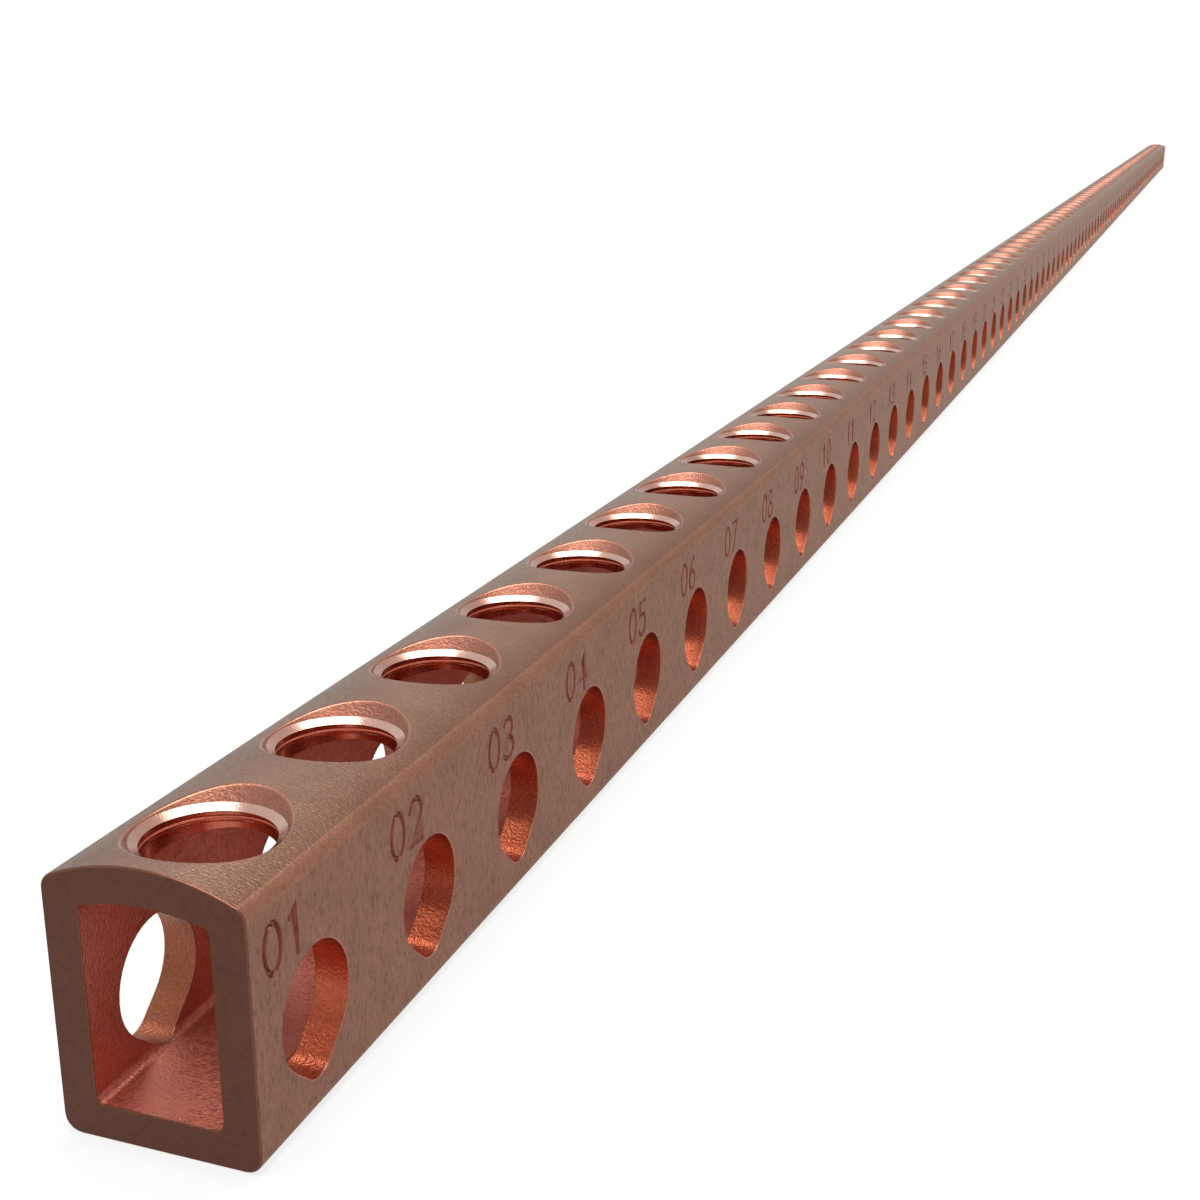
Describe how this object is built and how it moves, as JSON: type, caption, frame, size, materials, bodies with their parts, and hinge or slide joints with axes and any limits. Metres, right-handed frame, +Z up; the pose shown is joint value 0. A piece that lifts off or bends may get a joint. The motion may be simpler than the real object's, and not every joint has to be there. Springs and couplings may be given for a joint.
{
  "type": "rack grounding busbar",
  "caption": "Hollow copper bar with a domed crown and a row of side wire ports, each under a countersunk tapped hole for a clamp screw.",
  "frame": {"origin": "under the middle of the bar, on the flat face that it rests on", "axes": "+Z up through the crown, +Y along the bar, +X across it out of a side wall"},
  "size_m": [0.0088, 0.893, 0.0119],
  "materials": {
    "bar_copper": "tarnished satin copper"
  },
  "bodies": {
    "root": {"busbar": "bar_copper"}
  },
  "joints": []
}
